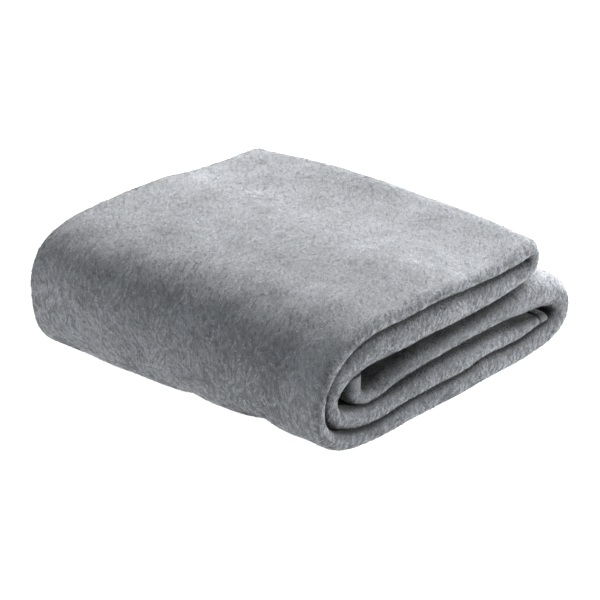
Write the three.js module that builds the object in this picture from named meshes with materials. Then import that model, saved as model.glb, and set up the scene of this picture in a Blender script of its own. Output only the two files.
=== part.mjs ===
// A folded fleece throw. The cut panel is folded in half twice across its width, which gives a strip of
// four plies, and the strip is then folded along its length into a flat stack: middle layer, back fold,
// base layer, outer side fold, top flap, flap edge fold, under layer, inner side fold, lower layer.
// Millimetres, +Z up. X runs from the big rounded side fold to the back, Y from the near end to the far end.
import * as THREE from 'three';
import { ParametricGeometry } from 'three/addons/geometries/ParametricGeometry.js';

// Overall sizes of the folded stack
const stackWidth = 330;
const stripWidth = 320;
const flapReach = 274;

// Thickness of each layer of four plies, from the floor up
const baseThickness = 25;
const lowerThickness = 27;
const middleThickness = 16;
const underThickness = 24;
const flapThickness = 11;
const layerGap = 0.8;
const flapGap = 7;

// Thickness of the strip where it is pinched around its folds
const outerFoldThickness = 10;
const innerFoldThickness = 16;
const backFoldThickness = 19;

// How far each fold reaches along X before its layers run straight
const sideFoldDepth = 62;
const backFoldDepth = 44;
const flapEdgeDepth = 14;

// The free ends of the strip
const lowerTaper = 52;
const lowerTipThickness = 10;
const tipClearance = 6;
const turnedEndThickness = 13;
const turnedEndShare = 0.255;
const shortHemWidth = 14;

// Finishing along the panel's edges
const longHemWidth = 14;
const labelWidth = 32;
const labelDrop = 18;
const labelThickness = 1;
const labelX = 190;

const pieceGap = 0.3;
const foldSteps = 14;
const noseSteps = 6;
const noseReach = 9;
const hemShare = 0.5;
const hemSlack = 0.03;

// Heights of the layers' lower and upper faces
const baseTop = baseThickness;
const lowerBottom = baseTop + layerGap;
const lowerTop = lowerBottom + lowerThickness;
const middleBottom = lowerTop + layerGap;
const middleTop = middleBottom + middleThickness;
const underBottom = middleTop + flapGap;
const underTop = underBottom + underThickness;
const flapBottom = underTop + layerGap;
const stackHeight = flapBottom + flapThickness;

const backFoldX = stackWidth - backFoldDepth;
const flapEdgeX = flapReach - flapEdgeDepth;
const innerFoldX = outerFoldThickness + layerGap;
const turnedEndX = sideFoldDepth - (sideFoldDepth - innerFoldX - innerFoldThickness) * turnedEndShare;
const lowerTipX = stackWidth - backFoldThickness - tipClearance;
const hemStartX = lowerTipX - shortHemWidth;
const farY = stripWidth - labelThickness - pieceGap;
const hemY = farY - longHemWidth;

// A station is a pair of points across the strip's thickness: its outside and its inside, as the strip runs.
const pair = (outX, outZ, inX, inZ) => [new THREE.Vector2(outX, outZ), new THREE.Vector2(inX, inZ)];

// Stations of a straight layer, from one X to another
function layer(fromX, toX, outZ, inZ, steps = 4) {
  const stations = [];
  for (let i = 0; i <= steps; i += 1) {
    const x = THREE.MathUtils.lerp(fromX, toX, i / steps);
    stations.push(pair(x, outZ, x, inZ));
  }
  return stations;
}

// Stations around a fold. Each rail is half an ellipse between two heights, bulging to tipX.
function fold(startX, outer, inner) {
  const stations = [];
  for (let i = 0; i <= foldSteps; i += 1) {
    const turn = (i / foldSteps) * Math.PI;
    const onRail = ({ fromZ, toZ, tipX }) => new THREE.Vector2(
      startX + (tipX - startX) * Math.sin(turn),
      (fromZ + toZ) / 2 + ((fromZ - toZ) / 2) * Math.cos(turn),
    );
    stations.push([onRail(outer), onRail(inner)]);
  }
  return stations;
}

// The lower layer thins towards its free end, which lies inside the back fold.
function lowerEnd(fromX, toX) {
  const stations = [];
  const middleZ = (lowerBottom + lowerTop) / 2;
  const steps = 4;
  for (let i = 0; i <= steps; i += 1) {
    const x = THREE.MathUtils.lerp(fromX, toX, i / steps);
    const thinned = (1 - (lowerTipX - x) / lowerTaper) ** 2;
    const thickness = THREE.MathUtils.lerp(lowerThickness, lowerTipThickness, thinned);
    stations.push(pair(x, middleZ + thickness / 2, x, middleZ - thickness / 2));
  }
  return stations;
}

// The middle layer's free end turns up inside the inner side fold and stops just below the flap.
function turnedEnd() {
  const stations = [];
  const steps = 6;
  const pivot = new THREE.Vector2(turnedEndX + turnedEndThickness, middleTop);
  for (let i = 0; i <= steps; i += 1) {
    const turn = (1 - i / steps) * (Math.PI / 2);
    const reach = THREE.MathUtils.lerp(turnedEndThickness, middleThickness, i / steps);
    const below = new THREE.Vector2(-Math.sin(turn), -Math.cos(turn)).multiplyScalar(reach).add(pivot);
    stations.push([pivot.clone(), below]);
  }
  return stations;
}

function raised(station, rise) {
  return station.map((point) => point.clone().add(new THREE.Vector2(0, rise)));
}

// Every stretch of the strip, in the order in which the strip runs
const turned = turnedEnd();
const stretches = {
  turned_end_hem: [raised(turned[0], flapGap - layerGap), turned[0]],
  turned_up_end: turned,
  middle_layer: layer(turned.at(-1)[0].x, backFoldX, middleTop, middleBottom),
  back_fold: fold(
    backFoldX,
    { fromZ: middleTop, toZ: 0, tipX: stackWidth },
    { fromZ: middleBottom, toZ: baseTop, tipX: stackWidth - backFoldThickness },
  ),
  base_layer: layer(backFoldX, sideFoldDepth, 0, baseTop),
  outer_side_fold: fold(
    sideFoldDepth,
    { fromZ: 0, toZ: stackHeight, tipX: 0 },
    { fromZ: baseTop, toZ: flapBottom, tipX: outerFoldThickness },
  ),
  top_flap: layer(sideFoldDepth, flapEdgeX, stackHeight, flapBottom),
  flap_edge_fold: fold(
    flapEdgeX,
    { fromZ: stackHeight, toZ: underBottom, tipX: flapReach },
    { fromZ: flapBottom, toZ: underTop, tipX: flapEdgeX + layerGap },
  ),
  under_layer: layer(flapEdgeX, sideFoldDepth, underBottom, underTop),
  inner_side_fold: fold(
    sideFoldDepth,
    { fromZ: underBottom, toZ: lowerTop, tipX: innerFoldX + innerFoldThickness },
    { fromZ: underTop, toZ: lowerBottom, tipX: innerFoldX },
  ),
  lower_layer: [
    ...layer(sideFoldDepth, lowerTipX - lowerTaper, lowerTop, lowerBottom).slice(0, -1),
    ...lowerEnd(lowerTipX - lowerTaper, hemStartX),
  ],
  lower_end_hem: lowerEnd(hemStartX, lowerTipX),
};

const fleece = new THREE.MeshStandardMaterial({ color: 0x8b8e92, roughness: 0.95, metalness: 0 });
const hemCloth = new THREE.MeshStandardMaterial({ color: 0x7c7f83, roughness: 0.95, metalness: 0 });
const satin = new THREE.MeshStandardMaterial({ color: 0xd9d9d6, roughness: 0.5, metalness: 0 });

const throwBlanket = new THREE.Group();

// The strip's closed outline across its width, as [share of the thickness, Y]. The near end is a round nose.
// At the far end the two inner plies stop short, where their long hems begin.
function stripOutline() {
  const outline = [[1, hemY], [hemShare, hemY], [hemShare, farY], [0, farY]];
  for (let i = 0; i <= noseSteps; i += 1) {
    const turn = (i / noseSteps) * Math.PI;
    outline.push([(1 - Math.cos(turn)) / 2, noseReach * (1 - Math.sin(turn))]);
  }
  return [...outline, outline[0]];
}

function squareOutline(low, high, nearY, farY) {
  return [[high, farY], [low, farY], [low, nearY], [high, nearY], [high, farY]];
}

// Sweeps an outline along stations into one closed solid. The first and last rows shrink to a point,
// which closes the two ends.
function sweep(name, stations, outline, material) {
  const points = stations.map(([outside, inside]) => outline.map(([share, y]) => {
    const at = outside.clone().lerp(inside, share);
    return new THREE.Vector3(at.x - stackWidth / 2, y - stripWidth / 2, at.y);
  }));
  const centre = (row) => {
    const ring = row.slice(1);
    const sum = ring.reduce((total, point) => total.add(point), new THREE.Vector3());
    return row.map(() => sum.clone().divideScalar(ring.length));
  };
  const rows = [centre(points[0]), ...points, centre(points.at(-1))];
  const across = outline.length - 1;
  const along = rows.length - 1;
  const surface = (u, v, target) => {
    target.copy(rows[Math.round(v * along)][Math.round(u * across)]);
  };
  const mesh = new THREE.Mesh(new ParametricGeometry(surface, across, along), material);
  mesh.name = name;
  throwBlanket.add(mesh);
}

// Draws a stretch's two ends in by half the gap that keeps neighbouring pieces apart.
function spaced(stations) {
  const drawn = stations.map((station) => station.map((point) => point.clone()));
  const drawIn = (end, next) => {
    end.forEach((point, side) => {
      const step = next[side].clone().sub(point);
      if (step.length() > pieceGap) point.add(step.setLength(pieceGap / 2));
    });
  };
  drawIn(drawn[0], stations[1]);
  drawIn(drawn.at(-1), stations.at(-2));
  return drawn;
}

for (const [name, stations] of Object.entries(stretches)) {
  sweep(name, spaced(stations), stripOutline(), fleece);
}

// The two long edges of the panel are hemmed, and lie side by side along the far end of every layer.
const wholeStrip = Object.values(stretches).flatMap((stations) => stations.slice(0, -1));
wholeStrip.push(stretches.lower_end_hem.at(-1));
const hemPly = (1 - hemShare) / 2;
['inner_long_hem', 'outer_long_hem'].forEach((name, i) => {
  const low = hemShare + i * hemPly + hemSlack;
  sweep(name, wholeStrip, squareOutline(low, low + hemPly - hemSlack, hemY + pieceGap, farY), hemCloth);
});

// A blank care label hangs against the far end, from the flap's hem.
const label = new THREE.Mesh(new THREE.BoxGeometry(labelWidth, labelThickness, labelDrop), satin);
label.name = 'care_label';
label.position.set(labelX - stackWidth / 2, (stripWidth - labelThickness) / 2, flapBottom - labelDrop / 2);
throwBlanket.add(label);

export default throwBlanket;
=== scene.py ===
# %% [markdown]
# # A folded fleece throw
# A throw is one panel of soft pile cloth with its edges sewn. This one is folded in half twice across its
# width, which gives a long strip of four plies, and the strip is then folded along its length into a flat
# stack. The frame holds plain solids for the layers and folds of that strip. This lesson lays one real
# sheet of cloth through all of them, then sews its hems and gives it its pile.

# %% Load the frame
import math

import bmesh
import bpy
import numpy as np
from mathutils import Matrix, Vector, noise
from mathutils.bvhtree import BVHTree


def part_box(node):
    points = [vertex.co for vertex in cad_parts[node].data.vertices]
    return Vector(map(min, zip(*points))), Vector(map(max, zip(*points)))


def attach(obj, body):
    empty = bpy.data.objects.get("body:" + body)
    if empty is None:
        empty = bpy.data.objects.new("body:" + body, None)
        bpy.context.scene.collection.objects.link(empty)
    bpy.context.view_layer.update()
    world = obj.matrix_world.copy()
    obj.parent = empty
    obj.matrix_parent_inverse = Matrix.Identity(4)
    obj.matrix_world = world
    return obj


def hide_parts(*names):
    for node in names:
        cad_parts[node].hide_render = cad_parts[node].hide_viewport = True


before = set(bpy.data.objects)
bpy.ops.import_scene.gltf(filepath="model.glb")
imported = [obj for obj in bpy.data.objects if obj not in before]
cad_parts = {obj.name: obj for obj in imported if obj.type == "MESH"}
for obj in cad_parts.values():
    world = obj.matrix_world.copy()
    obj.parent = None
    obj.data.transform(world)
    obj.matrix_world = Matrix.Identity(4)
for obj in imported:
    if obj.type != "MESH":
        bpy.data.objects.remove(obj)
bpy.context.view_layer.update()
MM = 0.001

# %% [markdown]
# ## Where the layers lie
# The heights come from the frame's own boxes, with listed sags, and the folds lie at listed distances from
# the side, so the cloth goes where the solids are. From the floor up, the stack is base layer, lower layer,
# middle layer, under layer and top flap.

# %% Read the stack's sizes
base_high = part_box("base_layer")[1]
middle_low, middle_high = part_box("middle_layer")
under_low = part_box("under_layer")[0]
flap_low, flap_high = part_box("top_flap")
side_low, side_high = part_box("outer_side_fold")
back_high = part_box("back_fold")[1]

LEFT, RIGHT = side_low[0], back_high[0]
NEAR, FAR = side_low[1], side_high[1]
TOP = flap_high[2]
LAYER_GAP = 0.8 * MM
print(f"stack {RIGHT - LEFT:.3f} x {FAR - NEAR:.3f} x {TOP:.3f} m")

# %% [markdown]
# ## The strip's two rails
# Seen from its end, the folded strip is a long ribbon with an outside and an inside face. Each face is one
# line, called a rail here, that runs through every layer and round every fold. The near end and the far
# end of a soft stack are never alike, so both ends have rails of their own, and the cloth between blends
# from one to the other.

# %% Heights of the layers, with their sag
def level(height, sags):
    """A layer's face: its height in the frame, plus mm of sag at some distances in mm from the side."""
    places, drops = zip(*sags)
    return lambda x: height + MM * np.interp((x - LEFT) / MM, places, drops)


NEAR_FACES = {
    "base_bottom": level(0.0, [(230, 0), (265, 1), (286, 3)]),
    "base_top": level(base_high[2], [
        (62, -10), (76, -11), (92, -9), (108, -6), (150, -5), (188, -6), (212, -1), (228, -2), (255, -5),
        (275, -4), (290, 1)]),
    "middle_bottom": level(middle_low[2], [
        (55, -17), (70, -20), (84, -18), (92, -16), (110, -12), (135, -10), (175, -8), (235, -8), (268, -12),
        (290, -15)]),
    "middle_top": level(middle_high[2], [
        (60, -26), (84, -25), (98, -20), (135, -14), (175, -12), (213, -9), (240, -5), (268, -2), (286, 0)]),
    "opening": level(0.0, [(75, 0), (105, 5), (265, 5), (290, 1)]),
    "under_bottom": level(under_low[2], [(60, -10), (90, -13), (150, -12), (220, -11), (250, -6), (280, -2)]),
    "flap_bottom": level(flap_low[2], [(60, -7), (84, -5), (110, -6), (140, -4), (185, -5), (230, -7),
                                       (262, -7), (285, -3)]),
    "flap_top": level(flap_high[2], [(60, -5), (84, -3), (140, -2), (185, -4), (230, -4), (262, -1),
                                     (285, 3)]),
}
FAR_FACES = {
    "base_bottom": level(0.0, [(230, 0), (300, 3)]),
    "base_top": level(base_high[2], [(30, -2), (300, 2)]),
    "middle_bottom": level(middle_low[2], [(60, -2), (160, 1), (300, -2)]),
    "middle_top": level(middle_high[2], [(60, -1), (160, 1), (300, -1)]),
    "opening": level(0.0, [(75, 0), (180, 1), (290, 0)]),
    "under_bottom": level(under_low[2], [(60, 1), (160, -2), (260, 1)]),
    "flap_bottom": level(flap_low[2], [(60, 4), (130, 2), (200, 0), (270, 3)]),
    "flap_top": level(flap_high[2], [(60, 5), (130, 3), (200, 0), (270, 4)]),
}

# %% Where each end's folds lie, as distances from the side, and how full their corners are
NEAR_FOLDS = {
    "side": 84, "side_tip": 3, "side_inner_tip": 14, "cavity_tip": 38, "waist": 0.45, "powers": (1.0, 0.84),
    "turned": 70, "turned_reach": 22, "edge": 270, "edge_tip": 287, "back": 286, "back_tip": 337,
    "back_inner_tip": 313, "tip": 306,
}
FAR_FOLDS = {
    "side": 62, "side_tip": -9, "side_inner_tip": 3, "cavity_tip": 27, "waist": 0.5, "powers": (0.78, 0.82),
    "turned": 66, "turned_reach": 13, "edge": 264, "edge_tip": 281, "back": 286, "back_tip": 330,
    "back_inner_tip": 311, "tip": 305,
}


# %% Straight layers and folds
def run(from_x, to_x, outside, inside, count):
    """The two rails of a layer, from one X to another."""
    x = np.linspace(from_x, to_x, count, endpoint=False)
    return np.stack([x, outside(x)], 1), np.stack([x, inside(x)], 1)


def bulge(x, from_z, to_z, tip_x, count, powers, waist):
    """Half a rounded rectangle from one height to another. A power under 1 fills its corner out."""
    turn = np.linspace(0, math.pi, count, endpoint=False)
    side = np.cos(turn) * np.sign(from_z - to_z)
    power = np.where(side > 0, *powers)
    out = np.abs(np.sin(turn)) ** power
    low, high = min(from_z, to_z), max(from_z, to_z)
    tip_z = low + (high - low) * waist
    half = np.where(side > 0, high - tip_z, tip_z - low)
    return np.stack([x + (tip_x - x) * out, tip_z + half * np.sign(side) * np.abs(side) ** power], 1)


def turned_end(pivot_x, reach, top_z, low_z, rise_to):
    """The middle layer's free end: it comes down from just under the flap and turns along the layer."""
    tight = 2.5 * MM
    down = np.linspace(rise_to, top_z + tight, 4, endpoint=False)
    outside = [(pivot_x - tight, z) for z in down]
    inside = [(pivot_x - reach, z) for z in down]
    for turn in np.linspace(math.pi / 2, 0, 7):
        depth = (top_z - low_z) + (reach - (top_z - low_z)) * math.sin(turn) ** 2
        outside.append((pivot_x - tight * math.sin(turn), top_z + tight * (1 - math.cos(turn))))
        inside.append((pivot_x - depth * math.sin(turn), top_z - (top_z - low_z) * math.cos(turn)))
    return np.array(outside), np.array(inside)


# %% Join the stretches into one strip
def strip_rails(faces, folds):
    """Both rails of the whole strip, from the turned-up end to the tip of the lower layer."""
    base_bottom, base_top = faces["base_bottom"], faces["base_top"]
    middle_bottom, middle_top = faces["middle_bottom"], faces["middle_top"]
    under_bottom, flap_bottom, flap_top = faces["under_bottom"], faces["flap_bottom"], faces["flap_top"]
    under_top = lambda x: flap_bottom(x) - LAYER_GAP
    lower_bottom = lambda x: base_top(x) + LAYER_GAP
    lower_top = lambda x: middle_bottom(x) - LAYER_GAP - faces["opening"](x)
    at = {name: LEFT + MM * value for name, value in folds.items() if np.isscalar(value)}
    side, edge, back, turned, tip = at["side"], at["edge"], at["back"], at["turned"], at["tip"]
    taper = tip - 0.052
    waist, powers = folds["waist"], folds["powers"]

    def fold(x, outer, inner, count, powers=(0.92, 0.92), waist=0.5):
        """Two rails, each given as its first height, last height and reach."""
        return tuple(bulge(x, *rail, count, powers, waist) for rail in (outer, inner))

    stretches = [
        ("turned_up_end", turned_end(turned, folds["turned_reach"] * MM, middle_top(turned),
                                     middle_bottom(turned), under_bottom(turned) - LAYER_GAP)),
        ("middle_layer", run(turned, back, middle_top, middle_bottom, 52)),
        ("back_fold", fold(back, (middle_top(back), base_bottom(back), at["back_tip"]),
                           (middle_bottom(back), base_top(back), at["back_inner_tip"]), 28)),
        ("base_layer", run(back, side, base_bottom, base_top, 50)),
        ("outer_side_fold", fold(side, (base_bottom(side), flap_top(side), at["side_tip"]),
                                 (base_top(side), flap_bottom(side), at["side_inner_tip"]),
                                 52, powers, waist)),
        ("top_flap", run(side, edge, flap_top, flap_bottom, 46)),
        ("flap_edge_fold", fold(edge, (flap_top(edge), under_bottom(edge), at["edge_tip"]),
                                (flap_bottom(edge), under_top(edge), edge + LAYER_GAP), 17)),
        ("under_layer", run(edge, side, under_bottom, under_top, 46)),
        ("inner_side_fold", fold(side, (under_bottom(side), lower_top(side), at["cavity_tip"]),
                                 (under_top(side), lower_bottom(side), at["side_inner_tip"] + LAYER_GAP),
                                 34, powers, waist)),
        ("lower_layer", run(side, taper, lower_top, lower_bottom, 44)),
        ("lower_end", run(taper, tip, *tapered(lower_top, lower_bottom, taper, tip), 13)),
    ]
    names = [name for name, rails in stretches for _ in range(len(rails[0]))]
    outside = np.concatenate([rails[0] for _, rails in stretches])
    inside = np.concatenate([rails[1] for _, rails in stretches])
    return names, outside, inside


def tapered(top, bottom, from_x, to_x):
    """Faces that close in towards the free end of the lower layer."""
    share = lambda x: np.clip((x - from_x) / (to_x - from_x), 0, 1) ** 2
    closed_top = lambda x: top(x) - (top(x) - bottom(x)) * 0.30 * share(x)
    closed_bottom = lambda x: bottom(x) + (top(x) - bottom(x)) * 0.34 * share(x)
    return closed_top, closed_bottom


def softened(values, spread):
    """Runs a rounding pass along the strip, so that layers flow into folds."""
    reach = int(3 * spread)
    weights = np.exp(-0.5 * (np.arange(-reach, reach + 1) / spread) ** 2)
    weights /= weights.sum()
    padded = np.concatenate([np.repeat(values[:1], reach, 0), values, np.repeat(values[-1:], reach, 0)])
    columns = padded if padded.ndim > 1 else padded[:, None]
    smooth = np.stack([np.convolve(column, weights, "valid") for column in columns.T], 1)
    return smooth if values.ndim > 1 else smooth[:, 0]


stretch_names, near_out, near_in = strip_rails(NEAR_FACES, NEAR_FOLDS)
_, far_out, far_in = strip_rails(FAR_FACES, FAR_FOLDS)
near_out, near_in, far_out, far_in = (softened(r, 1.4) for r in (near_out, near_in, far_out, far_in))
STATIONS = len(near_out)
middle_line = (near_out + near_in) / 2
steps = np.linalg.norm(np.diff(middle_line, axis=0), axis=1)
along = np.concatenate([[0], np.cumsum(steps)])
print(f"strip: {STATIONS} stations, {along[-1]:.3f} m long")

# %% [markdown]
# ## How the panel crosses the strip
# Across its width the panel passes through the strip four times. Its free edge starts at the far end
# on the inside ply, goes round the big nose at the near end to the outside ply, back round a small fold
# at the far end, round a small nose inside the big one, and ends at the far end again beside where it
# began. A point across the panel is a ply number, 0 outside to 3 inside, and a place along Y.

# %% Lay out the crossing
NEAR_NOSE, FAR_FOLD = 16, 8


def crossing():
    """Points across the panel: ply number, which end's nose it is in, and how far along Y it is, 0 to 1."""
    points = []

    def ply(number, start, stop, count, crowd):
        for share in np.linspace(0, 1, count, endpoint=False):
            gone = 1 - (1 - share) ** crowd if start > stop else share ** crowd
            points.append((number, start + (stop - start) * gone, 0.0, 0.0))

    def nose(from_ply, to_ply, place, steps_round):
        for step in range(steps_round):
            turn = math.pi * step / steps_round
            middle, half = (from_ply + to_ply) / 2, (from_ply - to_ply) / 2
            points.append((middle + half * math.cos(turn), place, math.sin(turn), abs(half)))

    ply(3, 1, 0, 14, 1.6)
    nose(3, 0, 0, NEAR_NOSE)
    ply(0, 0, 1, 62, 1.15)
    nose(0, 1, 1, FAR_FOLD)
    ply(1, 1, 0, 8, 1.0)
    nose(1, 2, 0, 6)
    ply(2, 0, 1, 12, 1.0)
    points.append((2, 1.0, 0.0, 0.0))
    return np.array(points)


across = crossing()
CROSSINGS = len(across)
print("crossing points:", CROSSINGS)

# %% [markdown]
# ## Unevenness
# Real layers don't end in line: some noses stand proud of their neighbours. Each stretch has its own
# set-back at the near end, softened along the strip. A slow noise makes both ends wander.

# %% Set each stretch's ends
ENDS_MM = {
    # how far the near end is set back, and how far its upper edge leans in and its lower edge out
    "turned_up_end": (9, 0), "middle_layer": (7, 4.5), "back_fold": (3, 2), "base_layer": (2, 1.5),
    "outer_side_fold": (1, 0), "top_flap": (0, 0), "flap_edge_fold": (2, 0), "under_layer": (4, 2),
    "inner_side_fold": (6, 2), "lower_layer": (4, 3.5), "lower_end": (5, 2),
}
set_back, lean = MM * softened(np.array([ENDS_MM[name] for name in stretch_names], float), 6).T
wander = np.array([noise.noise(Vector((s * 14, 3.1, 0.7))) for s in along])
far_wander = np.array([noise.noise(Vector((s * 11, 9.4, 5.2))) for s in along])
near_y = NEAR + 1.5 * MM + set_back + 1.5 * MM * wander
far_y = FAR - 2.5 * MM + 2.0 * MM * far_wander

# %% The strip's thickness and the cloth's own
thickness = np.linalg.norm(near_out - near_in, axis=1)
CLOTH_MOST, CLOTH_LEAST = 4.2 * MM, 2.2 * MM
cloth = np.clip(0.2 * thickness, CLOTH_LEAST, CLOTH_MOST)
cloth = softened(cloth, 5)
print(f"strip {thickness.min() / MM:.1f} to {thickness.max() / MM:.1f} mm thick")


# %% [markdown]
# ## Rumpling
# A stack of soft cloth moves as one: where the top sags, the layers under it sag too. So large
# unevenness is a slow push on all points by place, which can't make layers cross. Small dents only move
# the outermost ply inwards.

# %% Slow push and dents
def rumple(x, y, z):
    """How far the whole stack is pushed at a place, in metres: it is nothing at the floor."""
    lift = z / TOP
    share_x, share_y = (x - LEFT) / (RIGHT - LEFT), (y - NEAR) / (FAR - NEAR)
    crown = 8 * MM * math.sin(math.pi * min(max(share_y, 0), 1)) * max(share_x - 0.25, 0) / 0.6
    inland = min(max(share_y, 0) / 0.16, 1)
    crown += 6 * MM * inland * inland * (3 - 2 * inland) * math.exp(-((share_x - 0.42) / 0.26) ** 2)
    slow = noise.noise(Vector((x * 9 + 4, y * 9, z * 4)))
    fine = noise.noise(Vector((x * 22, y * 22 + 7, z * 9)))
    up = lift * (crown + 2.2 * MM * slow + 0.8 * MM * fine)
    sway = 2.0 * MM * noise.noise(Vector((y * 11, z * 16, 2.5)))
    return Vector((sway * min(1, z / 0.02), 0, up))


DENTS = [
    # share of the way round the side fold, share along Y, half-length along the strip and along Y in mm,
    # depth in mm
    (0.10, 0.80, 10, 26, 5.0),
    (0.14, 0.50, 12, 10, 5.0),
    (0.24, 0.46, 16, 7, 3.6),
    (0.16, 0.26, 14, 12, 4.2),
    (0.30, 0.22, 18, 9, 3.2),
    (0.45, 0.12, 18, 9, 1.6),
    (0.38, 0.86, 16, 14, 2.0),
    (0.60, 0.60, 22, 30, 1.5),
]
side_stations = [i for i, name in enumerate(stretch_names) if name == "outer_side_fold"]
side_start, side_length = along[side_stations[0]], along[side_stations[-1]] - along[side_stations[0]]


def dent_depth(s, y):
    """How far the outside ply is pushed in at a place on the strip."""
    share_y = (y - NEAR) / (FAR - NEAR)
    depth = 0.0
    for at_s, at_y, half_s, half_y, deep in DENTS:
        ds = (s - (side_start + at_s * side_length)) / (half_s * MM)
        dy = (share_y - at_y) * (FAR - NEAR) / (half_y * MM)
        depth += deep * MM * math.exp(-0.5 * (ds * ds + dy * dy))
    ripple = noise.fractal(Vector((s * 26, y * 26, 1.7)), 0.9, 2.1, 3)
    return depth + 0.9 * MM * ripple


# %% Map a point of the flat panel to its folded place
def folded(i, ply, place, in_nose, nose_half):
    """Where a point lies: station i along the strip, and a crossing point."""
    y_low, y_high = near_y[i], far_y[i]
    gap = (thickness[i] - cloth[i]) / 3
    big_nose = 0.52 * thickness[i]
    rise = (near_out[i] - near_in[i])[1] / thickness[i]
    start = y_low + big_nose + lean[i] * rise * (1 - ply / 1.5)
    stop = y_high - 0.6 * gap
    y = start + (stop - start) * place
    if in_nose:
        reach = big_nose * 0.96 if nose_half == 1.5 else 0.5 * gap
        y += (reach if place > 0.5 else -reach) * in_nose
    share_y = min(max((y - NEAR) / (FAR - NEAR), 0), 1)
    ease = share_y * share_y * (3 - 2 * share_y)
    outside = near_out[i] * (1 - ease) + far_out[i] * ease
    inside = near_in[i] * (1 - ease) + far_in[i] * ease
    through = inside - outside
    wide = float(np.hypot(*through)) or MM
    inset = cloth[i] / 2 / wide
    share = inset + (1 - 2 * inset) * ply / 3
    dent = dent_depth(along[i], y) * max(0.0, 1 - ply / 2.2)
    at = outside + through * (share + dent / wide)
    point = Vector((at[0], y, at[1]))
    return point + rumple(*point)


# %% [markdown]
# ## The panel
# A grid operator makes the flat panel, with its length and width as its UV map, in metres, so that the
# pile's pattern follows the cloth. Each point then moves to its folded place, and Solidify gives the
# cloth its thickness, less where the strip is pinched.

# %% Make the panel
def grid_object(name, columns, rows, place):
    """A grid of columns by rows points, each put at place(column, row), with a UV map to fill."""
    bm = bmesh.new()
    bm.loops.layers.uv.new("UVMap")
    bmesh.ops.create_grid(bm, x_segments=columns - 1, y_segments=rows - 1, size=0.5, calc_uvs=True)
    for vert in bm.verts:
        column = round((vert.co.x + 0.5) * (columns - 1))
        row = round((vert.co.y + 0.5) * (rows - 1))
        vert.co = place(column, row)
    mesh = bpy.data.meshes.new(name)
    bm.to_mesh(mesh)
    bm.free()
    obj = bpy.data.objects.new(name, mesh)
    bpy.context.collection.objects.link(obj)
    for polygon in mesh.polygons:
        polygon.use_smooth = True
    return obj


def stretch_uv(obj, lengths, widths):
    """Turns a grid's 0 to 1 UV map into metres of cloth."""
    layer = obj.data.uv_layers.active.data
    uv = np.zeros(len(layer) * 2)
    layer.foreach_get("uv", uv)
    uv = uv.reshape(-1, 2)
    uv[:, 0] = np.interp(uv[:, 0], np.linspace(0, 1, len(lengths)), lengths)
    uv[:, 1] = np.interp(uv[:, 1], np.linspace(0, 1, len(widths)), widths)
    layer.foreach_set("uv", uv.ravel())


panel = grid_object("throw_panel", STATIONS, CROSSINGS, lambda i, j: folded(i, *across[j]))

mid_station = STATIONS // 2
row_points = [folded(mid_station, *across[j]) for j in range(CROSSINGS)]
widths = np.concatenate([[0], np.cumsum([(b - a).length for a, b in zip(row_points, row_points[1:])])])
stretch_uv(panel, along, widths)
print(f"panel measures {widths[-1]:.3f} m across and {along[-1]:.3f} m along")


def give_cloth(obj, depths):
    """Gives a sheet its thickness, a value for each of its stations."""
    most = max(depths)
    group = obj.vertex_groups.new(name="cloth")
    for index in range(len(obj.data.vertices)):
        group.add([index], float(depths[index % len(depths)] / most), "REPLACE")
    solid = obj.modifiers.new("cloth", "SOLIDIFY")
    solid.thickness, solid.offset = most, 0
    solid.vertex_group = group.name
    solid.use_even_offset = False


give_cloth(panel, cloth)

# %% [markdown]
# ## Hems
# A throw's raw edges are turned over and sewn. The two long edges end side by side at the far end, on
# the inside two plies, so each long hem is a band round one ply's edge, as long as the whole strip. The two
# short edges cross all four plies at the strip's ends. A hem is a turn of the same cloth, so it is a
# little thicker than the ply it closes.

# %% Long hems and short hems
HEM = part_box("outer_long_hem")[1][1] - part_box("outer_long_hem")[0][1]
SPAN = FAR - NEAR
ply_gap = (thickness - cloth) / 3
hem_depth = np.minimum(cloth + 1.4 * MM, 0.97 * ply_gap)


def long_hem(name, ply):
    """A band of cloth over the free edge of one ply, along the whole strip."""
    places = np.linspace(1 - HEM / SPAN, 1 + 1.5 * MM / SPAN, 5)
    hem = grid_object(name, STATIONS, 5, lambda i, j: folded(i, ply, places[j], 0, 0))
    stretch_uv(hem, along, places * SPAN)
    give_cloth(hem, hem_depth)
    return hem


def short_hem(name, stations):
    """A band over one end of the strip, across all four plies."""
    hem = grid_object(name, len(stations), CROSSINGS, lambda i, j: folded(stations[i], *across[j]))
    stretch_uv(hem, along[stations], widths)
    give_cloth(hem, (cloth + 1.2 * MM)[stations])
    return hem


outer_hem, inner_hem = long_hem("outer_long_hem_band", 3), long_hem("inner_long_hem_band", 2)
turned_hem = short_hem("turned_end_hem_band", list(range(4)))
tip_hem = short_hem("lower_end_hem_band", list(range(STATIONS - 4, STATIONS)))
print(f"hem {HEM / MM:.1f} mm wide, {hem_depth.min() / MM:.1f} to {hem_depth.max() / MM:.1f} mm thick")

# %% [markdown]
# The long hems are finished with blanket stitch in grey thread, coloured darker than the cloth as painted
# shade:
# each stitch wraps the edge, and one line of thread runs along it and joins them. Thread is easiest as a
# curve with a round section, which is then made a mesh.

# %% Blanket stitch
def thread_points(i, ply, half_turns):
    """Points of one stitch round a hem's edge, or the one point on the edge itself."""
    reach = (hem_depth[i] / 2 + 0.2 * MM) / ply_gap[i]
    edge = 1 + 2.0 * MM / SPAN
    path = [(-reach, edge - 4.5 * MM / SPAN), (-reach, edge - 0.8 * MM / SPAN), (0, edge),
            (reach, edge - 0.8 * MM / SPAN), (reach, edge - 4.5 * MM / SPAN)]
    return [folded(i, ply + side, place, 0, 0) for side, place in path[half_turns]]


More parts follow.
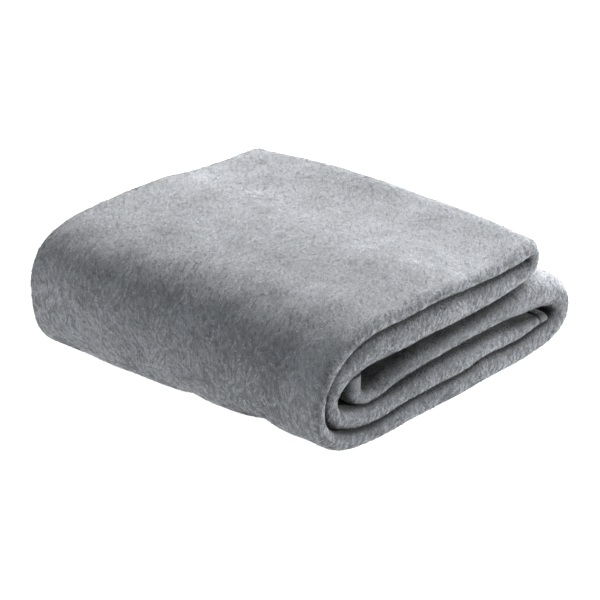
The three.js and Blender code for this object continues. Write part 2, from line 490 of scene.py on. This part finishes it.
def stitching(name, ply):
    curve = bpy.data.curves.new(name, "CURVE")
    curve.dimensions = "3D"
    curve.bevel_depth, curve.bevel_resolution, curve.use_fill_caps = 0.22 * MM, 1, True
    lines = [thread_points(i, ply, slice(None)) for i in range(1, STATIONS - 1, 2)]
    lines.append([thread_points(i, ply, slice(2, 3))[0] for i in range(1, STATIONS - 1)])
    for line in lines:
        spline = curve.splines.new("POLY")
        spline.points.add(len(line) - 1)
        for point, place in zip(spline.points, line):
            point.co = (*place, 1)
    drawn = bpy.data.objects.new(name, curve)
    bpy.context.collection.objects.link(drawn)
    mesh = bpy.data.meshes.new_from_object(drawn.evaluated_get(bpy.context.evaluated_depsgraph_get()))
    bpy.data.objects.remove(drawn)
    obj = bpy.data.objects.new(name, mesh)
    bpy.context.collection.objects.link(obj)
    return obj


threads = [stitching("outer_hem_stitches", 3), stitching("inner_hem_stitches", 2)]
print("stitches:", sum(len(thread.data.polygons) for thread in threads), "faces")

# %% [markdown]
# ## Care label
# A blank satin label is sewn into the hem below the flap. Its top is caught in the seam, and the rest hangs
# down over the far end with a slight curl.

# %% Hang the label
label_low, label_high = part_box("care_label")
LABEL_ROWS = 14


def label_point(column, row):
    across_label = column / 8
    down = row / (LABEL_ROWS - 1)
    x = label_low[0] + (label_high[0] - label_low[0]) * across_label
    z = label_high[2] - (label_high[2] - label_low[2]) * max(0, (down - 0.25) / 0.75)
    inside = 9 * MM * max(0, 1 - down / 0.25) ** 0.7
    curl = 1.2 * MM * math.sin(math.pi * across_label) * down + 1.5 * MM * down ** 3
    return Vector((x, label_high[1] - inside + curl, z + 3.0 * MM))


label = grid_object("care_label_satin", 9, LABEL_ROWS, label_point)
stretch_uv(label, np.linspace(0, 0.032, 9), np.linspace(0, 0.027, LABEL_ROWS))
give_cloth(label, [0.4 * MM] * 9)

# %% [markdown]
# ## The pile
# Fleece is knitted cloth whose loops are cut and brushed up into fine fibres. They gather into small
# tufts that lie over along the nap, and they are what makes the outline of a fleece fuzzy. A tuft is a
# small three-sided spike. They grow only where the cloth is in the open, which is found by sending rays
# out of each small square of cloth and counting those that meet no other cloth nearby.

# %% Find the cloth in the open
def unit(vectors):
    return vectors / np.maximum(np.linalg.norm(vectors, axis=1, keepdims=True), 1e-12)


def open_cloth(obj):
    """Corner places and normals of every quad of the cloth that nothing touches."""
    graph = bpy.context.evaluated_depsgraph_get()
    mesh = obj.evaluated_get(graph).to_mesh()
    tree = BVHTree.FromObject(obj, graph)
    keep = []
    for polygon in mesh.polygons:
        normal, centre = polygon.normal, polygon.center
        if len(polygon.vertices) != 4 or (centre.z < 4 * MM and normal.z < -0.6):
            continue
        if tree.ray_cast(centre + normal * 0.6 * MM, normal, 1.8 * MM)[0] is None:
            keep.append(polygon.index)
    corners = np.zeros(len(mesh.vertices) * 3)
    mesh.vertices.foreach_get("co", corners)
    normals = np.zeros(len(mesh.vertices) * 3)
    mesh.vertices.foreach_get("normal", normals)
    quads = np.array([mesh.polygons[index].vertices[:] for index in keep])
    obj.evaluated_get(graph).to_mesh_clear()
    return corners.reshape(-1, 3)[quads], normals.reshape(-1, 3)[quads]


NEARBY = 25 * MM


def open_shares(obj, centres, normals):
    """How much of the air above each place is free of cloth, as far as NEARBY reaches."""
    tree = BVHTree.FromObject(obj, bpy.context.evaluated_depsgraph_get())
    turns = np.arange(12) * 2.39996
    heights = np.sqrt(1 - (np.arange(12) + 0.5) / 12)
    spread = np.sqrt(1 - heights ** 2)
    rays = np.stack([spread * np.cos(turns), spread * np.sin(turns), heights], 1)
    shares = []
    for centre, normal in zip(centres, normals):
        turn = Vector((0, 0, 1)).rotation_difference(Vector(normal))
        start = Vector(centre + normal * MM)
        shares.append(np.mean([tree.ray_cast(start, turn @ Vector(ray), NEARBY)[0] is None for ray in rays]))
    return np.array(shares)


quad_corners, quad_normals = open_cloth(panel)
quad_open = open_shares(panel, quad_corners.mean(1), unit(quad_normals.mean(1)))
seen = quad_open > 0.2
quad_corners, quad_normals, quad_open = quad_corners[seen], quad_normals[seen], quad_open[seen]
diagonals = quad_corners[:, 2] - quad_corners[:, 0], quad_corners[:, 3] - quad_corners[:, 1]
quad_areas = np.linalg.norm(np.cross(*diagonals), axis=1) / 2
print(f"{len(quad_areas)} quads in the open, {quad_areas.sum():.3f} m2")

# %% Grow tufts
rng = np.random.default_rng(11)
noise.seed_set(11)


def tufts(name, chosen, count, size=1.0):
    """A piece of count tufts, spread evenly over the chosen quads."""
    share = quad_areas[chosen] / quad_areas[chosen].sum()
    quad = chosen[rng.choice(len(chosen), count, p=share)]
    a, b = rng.random((2, count, 1))
    blend = [(1 - a) * (1 - b), a * (1 - b), a * b, (1 - a) * b]
    root = sum(part * quad_corners[quad, i] for i, part in enumerate(blend))
    up = unit(sum(part * quad_normals[quad, i] for i, part in enumerate(blend)))

    swirl = np.array([noise.noise_vector(Vector(place) * 38) + noise.noise_vector(Vector(place) * 130)
                      for place in root])
    plain = 1 - 0.82 * up[:, 2].clip(0, 1) ** 2
    nap = 1.2 * np.array([-0.5, -0.4, -0.6]) + (0.2 + plain[:, None]) * swirl
    nap = unit(nap - up * (nap * up).sum(1, keepdims=True))
    streak = sum(np.array([noise.noise(Vector(place) * 420) for place in root + nap * step * MM])
                 for step in (-1.8, -0.9, 0, 0.9, 1.8)) / 2.4
    nap = unit(nap + 0.2 * rng.normal(size=(count, 3)))
    across_nap = np.cross(up, nap)
    length = rng.uniform(0.8, 1.35, (count, 1)) * size
    rise = 0.4 + 0.15 * plain[:, None] + 0.55 * np.abs(up[:, 1:2])
    tip = root + (up * rise + nap * 1.9) * length * MM
    wide = rng.uniform(0.45, 0.75, (count, 1)) * MM * size
    foot = root - up * 0.5 * MM
    ring = [foot + across_nap * wide, foot - across_nap * wide, foot - nap * wide * 0.9 + up * 0.5 * MM]
    points = np.stack([*ring, tip], 1)

    corners = np.array([[0, 3, 1], [1, 3, 2], [2, 3, 0], [0, 1, 2]])
    faces = (corners[None] + 4 * np.arange(count)[:, None, None]).reshape(-1, 3)
    mesh = bpy.data.meshes.new(name)
    mesh.from_pydata(points.reshape(-1, 3), [], faces.tolist())
    mesh.shade_smooth()
    tilt = 0.8 * plain[:, None]
    outward = unit(np.stack([up * 1.2 + across_nap * tilt, up * 1.2 - across_nap * tilt, up - nap * tilt,
                             up + nap * tilt * 0.6], 1).reshape(-1, 3))
    mesh.normals_split_custom_set_from_vertices(outward)
    tone = 0.5 + (0.2 + plain) * (2.2 * streak + 0.5 * (rng.random(count) - 0.5))
    # Painted shade and highlight: each tuft's root is darker and its tip lighter, most on steep faces.
    tone = tone[:, None] + plain[:, None] * np.array([-0.3, -0.3, -0.25, 0.15])
    attribute = mesh.attributes.new("tone", "FLOAT", "POINT")
    attribute.data.foreach_set("value", tone.ravel())
    # This share of open air later darkens the tufts' colour between the layers, as painted shade.
    attribute = mesh.attributes.new("open_share", "FLOAT", "POINT")
    attribute.data.foreach_set("value", np.repeat(quad_open[quad], 4))
    obj = bpy.data.objects.new(name, mesh)
    bpy.context.collection.objects.link(obj)
    return obj


facing = unit(quad_normals.mean(1))
top_side = facing[:, 2] > 0.55
inland = quad_corners[:, 0, 1] > (NEAR + FAR) / 2
near_end = ~top_side & (facing[:, 1] < -0.35)
side = ~top_side & ~near_end & (facing[:, 0] < -0.2)
regions = {
    "pile_top_near": top_side & ~inland, "pile_top_far": top_side & inland, "pile_side": side,
    "pile_near_end": near_end, "pile_back": ~top_side & ~near_end & ~side,
}
SPACING_MM = {
    "pile_top_near": 1.15, "pile_top_far": 1.15, "pile_side": 1.05, "pile_near_end": 0.9, "pile_back": 1.4,
}
pile = []
for name, region in regions.items():
    chosen = np.flatnonzero(region)
    spacing = SPACING_MM[name] * MM
    count = min(49500, int(quad_areas[chosen].sum() / spacing ** 2))
    print(f"{name}: {quad_areas[chosen].sum():.3f} m2, {count} tufts")
    pile.append(tufts(name, chosen, count, 0.62 * spacing / MM))
print("pile:", sum(len(piece.data.polygons) for piece in pile), "faces")

# %% [markdown]
# ## Materials
# The shader maths below is written as Python sums. A small class wraps a socket, so that adding or
# multiplying wires adds the Math nodes, and one method adds every other kind of node.

# %% A socket that can be added and multiplied
class Wire:
    def __init__(self, tree, socket):
        self.tree, self.socket = tree, socket

    def _math(self, operation, first, second):
        node = self.tree.nodes.new("ShaderNodeMath")
        node.operation = operation
        plug(self.tree, node.inputs[0], first)
        plug(self.tree, node.inputs[1], second)
        return Wire(self.tree, node.outputs[0])

    def __add__(self, other):
        return self._math("ADD", self, other)

    def __radd__(self, other):
        return self._math("ADD", other, self)

    def __sub__(self, other):
        return self._math("SUBTRACT", self, other)

    def __rsub__(self, other):
        return self._math("SUBTRACT", other, self)

    def __mul__(self, other):
        return self._math("MULTIPLY", self, other)

    def __rmul__(self, other):
        return self._math("MULTIPLY", other, self)


def plug(tree, socket, value):
    if isinstance(value, Wire):
        tree.links.new(value.socket, socket)
    else:
        socket.default_value = value


class Finish:
    """A material under construction."""

    def __init__(self, name):
        self.material = bpy.data.materials.new(name)
        self.material.use_nodes = True
        self.tree = self.material.node_tree
        self.shader = self.tree.nodes["Principled BSDF"]

    def add(self, kind, settings=None, output=0, **sockets):
        node = self.tree.nodes.new("ShaderNode" + kind)
        for key, value in (settings or {}).items():
            if key == "stops":
                ramp = node.color_ramp
                while len(ramp.elements) < len(value):
                    ramp.elements.new(0.5)
                for element, (position, colour) in zip(ramp.elements, value):
                    element.position, element.color = position, (*colour, 1)
            else:
                setattr(node, key, value)
        for key, value in sockets.items():
            name = key.replace("_", " ")
            plug(self.tree, node.inputs[int(name)] if name.isdigit() else node.inputs[name], value)
        return Wire(self.tree, node.outputs[output])

    def set(self, **sockets):
        for key, value in sockets.items():
            plug(self.tree, self.shader.inputs[key.replace("_", " ")], value)


# %% [markdown]
# Fleece is a carpet of fine fibres. Each patch lies over in its own direction, so it catches the light
# differently, and the tips gather into little streaks a couple of millimetres long. The colour map mixes
# slow brushed patches with fine streaks, and the bump follows the same streaks.

# %% Fleece
def painted_crevice_shade(finish, tint, dark, open_share):
    """Painted shade: darkens the colour itself between the layers, so it stays dark there under any light."""
    deep = tuple(0.12 * part for part in dark)
    return finish.add("Mix", {"data_type": "RGBA"}, output=2,
                      **{"0": open_share * 2.3 - 1.1, "6": (*deep, 1), "7": tint})


def fleece(name, dark, light, streak_depth=1.0, own_only=True):
    finish = Finish(name)
    cloth_map = finish.add("UVMap", {"uv_map": "UVMap"})
    solid_place = finish.add("TexCoord", output=3)

    bend = finish.add("TexNoise", Vector=cloth_map, Scale=30.0, Detail=2.0, output=1)
    swirl = finish.add("VectorMath", {"operation": "SCALE"}, **{"0": bend, "Scale": 0.012})
    swept = finish.add("VectorMath", {"operation": "ADD"}, **{"0": cloth_map, "1": swirl})
    pulled = finish.add("Mapping", Vector=swept, Scale=(1.0, 2.4, 1.0), Rotation=(0, 0, 0.5))
    tufts = finish.add("TexNoise", Vector=pulled, Scale=420.0, Detail=3.0, Roughness=0.6, Distortion=0.6)
    fibres = finish.add("TexNoise", Vector=pulled, Scale=1300.0, Detail=2.0, Roughness=0.65)
    brushed = finish.add("TexNoise", Vector=solid_place, Scale=17.0, Detail=4.0, Roughness=0.62,
                         Distortion=0.5)
    mottled = finish.add("TexNoise", Vector=solid_place, Scale=75.0, Detail=3.0, Roughness=0.6)

    # Broad, slow darker and lighter patches in the colour.
    slow_patches = finish.add("TexNoise", Vector=solid_place, Scale=8.0, Detail=2.0, Distortion=1.2)
    patch = (brushed - 0.5) * 1.5 + (mottled - 0.5) * 0.6 + (slow_patches - 0.5) * 1.6
    streak = (tufts - 0.5) * 1.5 + (fibres - 0.5) * 0.9
    shade = 0.5 + patch * 0.42 + streak * 0.55 * streak_depth
    middle = tuple((a + b) / 2 for a, b in zip(dark, light))
    tint = finish.add("ValToRGB", {"stops": [(0.0, dark), (0.5, middle), (1.0, light)]}, Fac=shade)
    # Painted shade: how much air is open around the cloth, found by an occlusion node, darkens its colour
    # between the layers.
    open_share = finish.add("AmbientOcclusion", {"samples": 6, "only_local": own_only}, output=1,
                            Distance=NEARBY)
    tint = painted_crevice_shade(finish, tint, dark, open_share)
    height = tufts * 1.0 + fibres * 0.6 + mottled * 0.8
    rough = finish.add("Bump", Strength=0.85 * streak_depth, Distance=1.3 * MM, Height=height)
    finish.set(Base_Color=tint, Roughness=0.95, Normal=rough, Sheen_Weight=0.22, Sheen_Roughness=0.45,
               Sheen_Tint=(1.0, 1.0, 1.0, 1.0), Specular_IOR_Level=0.12)
    return finish.material


def tuft_fleece(name, dark, light):
    """The pile's finish: each tuft's grey, with painted shade at its root and a painted highlight at its tip,
    plus brushed patches.
    """
    finish = Finish(name)
    solid_place = finish.add("TexCoord", output=3)
    tone = finish.add("Attribute", {"attribute_name": "tone"}, output=2)
    brushed = finish.add("TexNoise", Vector=solid_place, Scale=17.0, Detail=4.0, Roughness=0.62,
                         Distortion=0.5)
    mottled = finish.add("TexNoise", Vector=solid_place, Scale=110.0, Detail=3.0, Roughness=0.6)
    # Broad, slow darker and lighter patches in the colour.
    slow_patches = finish.add("TexNoise", Vector=solid_place, Scale=8.0, Detail=2.0, Distortion=1.2)
    shade = tone + (brushed - 0.5) * 0.8 + (mottled - 0.5) * 0.3 + (slow_patches - 0.5) * 0.9
    tint = finish.add("Mix", {"data_type": "RGBA"}, output=2,
                      **{"0": shade, "6": (*dark, 1), "7": (*light, 1)})
    # Painted shade: the share of open air stored on each tuft darkens its colour between the layers.
    open_share = finish.add("Attribute", {"attribute_name": "open_share"}, output=2)
    tint = painted_crevice_shade(finish, tint, dark, open_share)
    finish.set(Base_Color=tint, Roughness=0.95, Sheen_Weight=0.28, Sheen_Roughness=0.5,
               Sheen_Tint=(1.0, 1.0, 1.0, 1.0), Specular_IOR_Level=0.1)
    return finish.material


panel_fleece = fleece("grey_fleece", (0.125, 0.1305, 0.14), (0.295, 0.3065, 0.327))
panel.data.materials.append(panel_fleece)
pile_fleece = tuft_fleece("fleece_tufts", (0.115, 0.12, 0.129), (0.405, 0.42, 0.448))
# Painted shade: the hems are the panel's own cloth, coloured darker than it.
hem_fleece_painted_shade = fleece("hem_fleece_painted_shade", (0.09, 0.0935, 0.1), (0.2, 0.207, 0.22), 0.7, False)
for piece in pile:
    piece.data.materials.append(pile_fleece)
for piece in (outer_hem, inner_hem, turned_hem, tip_hem):
    piece.data.materials.append(hem_fleece_painted_shade)


# %% [markdown]
# Thread is twisted, so it has fine slanting ridges. Satin is woven with long floats: a smooth shine across
# a fine weave.

# %% Thread and satin
def thread_finish():
    finish = Finish("grey_thread")
    solid_place = finish.add("TexCoord", output=3)
    twist = finish.add("TexWave", {"wave_type": "BANDS", "bands_direction": "DIAGONAL"}, output=1,
                       Vector=solid_place, Scale=900.0, Distortion=1.0)
    uneven = finish.add("TexNoise", Vector=solid_place, Scale=160.0, Detail=2.0)
    shade = twist * 0.5 + uneven * 0.6
    # Painted shade: the thread is coloured darker than the cloth it is sewn into.
    tint = finish.add("Mix", {"data_type": "RGBA"}, output=2, **{
        "0": shade, "6": (0.055, 0.057, 0.06, 1), "7": (0.13, 0.134, 0.141, 1)})
    ridges = finish.add("Bump", Strength=0.5, Distance=0.15 * MM, Height=twist)
    finish.set(Base_Color=tint, Roughness=0.7, Normal=ridges, Sheen_Weight=0.3, Specular_IOR_Level=0.25)
    return finish.material


def satin_finish():
    finish = Finish("label_satin")
    cloth_map = finish.add("UVMap", {"uv_map": "UVMap"})
    warp = finish.add("TexWave", {"wave_type": "BANDS", "bands_direction": "X"}, output=1,
                      Vector=cloth_map, Scale=700.0, Distortion=0.3)
    weft = finish.add("TexWave", {"wave_type": "BANDS", "bands_direction": "Y"}, output=1,
                      Vector=cloth_map, Scale=400.0, Distortion=0.3)
    uneven = finish.add("TexNoise", Vector=cloth_map, Scale=140.0, Detail=3.0)
    shade = warp * 0.3 + weft * 0.2 + uneven * 0.5
    tint = finish.add("Mix", {"data_type": "RGBA"}, output=2, **{
        "0": shade, "6": (0.27, 0.27, 0.26, 1), "7": (0.37, 0.37, 0.355, 1)})
    weave = finish.add("Bump", Strength=0.4, Distance=0.08 * MM, Height=warp * 0.6 + weft * 0.4)
    finish.set(Base_Color=tint, Roughness=0.3 + uneven * 0.2, Normal=weave, Sheen_Weight=0.1)
    return finish.material


grey_thread = thread_finish()
for thread in threads:
    thread.data.materials.append(grey_thread)
label.data.materials.append(satin_finish())

# %% [markdown]
# ## Camera and light
# A long lens looks down at the corner between the side fold and the near end. The main light is a soft
# square high over the back of the stack, so the top is bright and the side fold is in shade. Two weaker
# squares fill the near end and the side, and the white floor lights everything from below.

# %% Camera
scene = bpy.context.scene
camera = bpy.data.objects.new("camera", bpy.data.cameras.new("camera"))
bpy.context.collection.objects.link(camera)
scene.camera = camera
camera.data.lens = 132.1
camera.data.sensor_width = 36
AIM = Vector((LEFT + 0.2073, NEAR + 0.2056, 0.0173))
azimuth, elevation, distance = math.radians(-137.52), math.radians(24.55), 1.95
toward = Vector((math.cos(elevation) * math.cos(azimuth), math.cos(elevation) * math.sin(azimuth),
                 math.sin(elevation)))
camera.location = AIM + toward * distance
camera.rotation_euler = (-toward).to_track_quat("-Z", "Y").to_euler()
camera.data.clip_end = 20

# %% Floor and light
bm = bmesh.new()
bmesh.ops.create_grid(bm, x_segments=1, y_segments=1, size=5)
floor_mesh = bpy.data.meshes.new("floor")
bm.to_mesh(floor_mesh)
bm.free()
floor = bpy.data.objects.new("floor", floor_mesh)
bpy.context.collection.objects.link(floor)
floor.location.z = -0.0005
paper = Finish("white_paper")
paper.set(Base_Color=(0.2, 0.2, 0.2, 1), Roughness=0.9, Specular_IOR_Level=0.1,
          Emission_Color=(1, 1, 1, 1), Emission_Strength=1.0)
floor.data.materials.append(paper.material)


def soft_light(name, at, aim, size, power):
    data = bpy.data.lights.new(name, "AREA")
    data.shape, data.size, data.energy = "SQUARE", size, power
    data.color = (1.0, 0.99, 0.975)
    lamp = bpy.data.objects.new(name, data)
    bpy.context.collection.objects.link(lamp)
    lamp.location = at
    lamp.rotation_euler = (Vector(aim) - Vector(at)).to_track_quat("-Z", "Y").to_euler()
    return lamp


soft_light("key", (1.2, 0.3, 1.1), (0, 0, 0.05), 0.9, 97)
soft_light("front_fill", (0.9, -1.3, 0.55), (0.05, -0.1, 0.05), 0.5, 26)
soft_light("side_fill", (-1.5, 0.7, 0.6), (-0.1, 0, 0.05), 0.6, 11)
world = bpy.data.worlds.new("studio")
scene.world = world
world.use_nodes = True
world.node_tree.nodes["Background"].inputs["Color"].default_value = (0.86, 0.94, 1, 1)
world.node_tree.nodes["Background"].inputs["Strength"].default_value = 0.24
scene.view_settings.view_transform = "Standard"

# %% [markdown]
# ## What stands for what
# The panel stands for every layer and fold of the frame, each hem for its own solid, and the label for its
# own. The throw is one sheet of cloth, folded, and its hems belong to it.

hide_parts("turned_up_end", "middle_layer", "back_fold", "base_layer", "outer_side_fold", "top_flap",
            "flap_edge_fold", "under_layer", "inner_side_fold", "lower_layer")
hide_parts("outer_long_hem")
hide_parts("inner_long_hem")
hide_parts("turned_end_hem")
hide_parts("lower_end_hem")
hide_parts("care_label")
hems = [outer_hem, inner_hem, turned_hem, tip_hem]
for piece in (panel, *pile, *hems, *threads, label):
    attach(piece, "root")
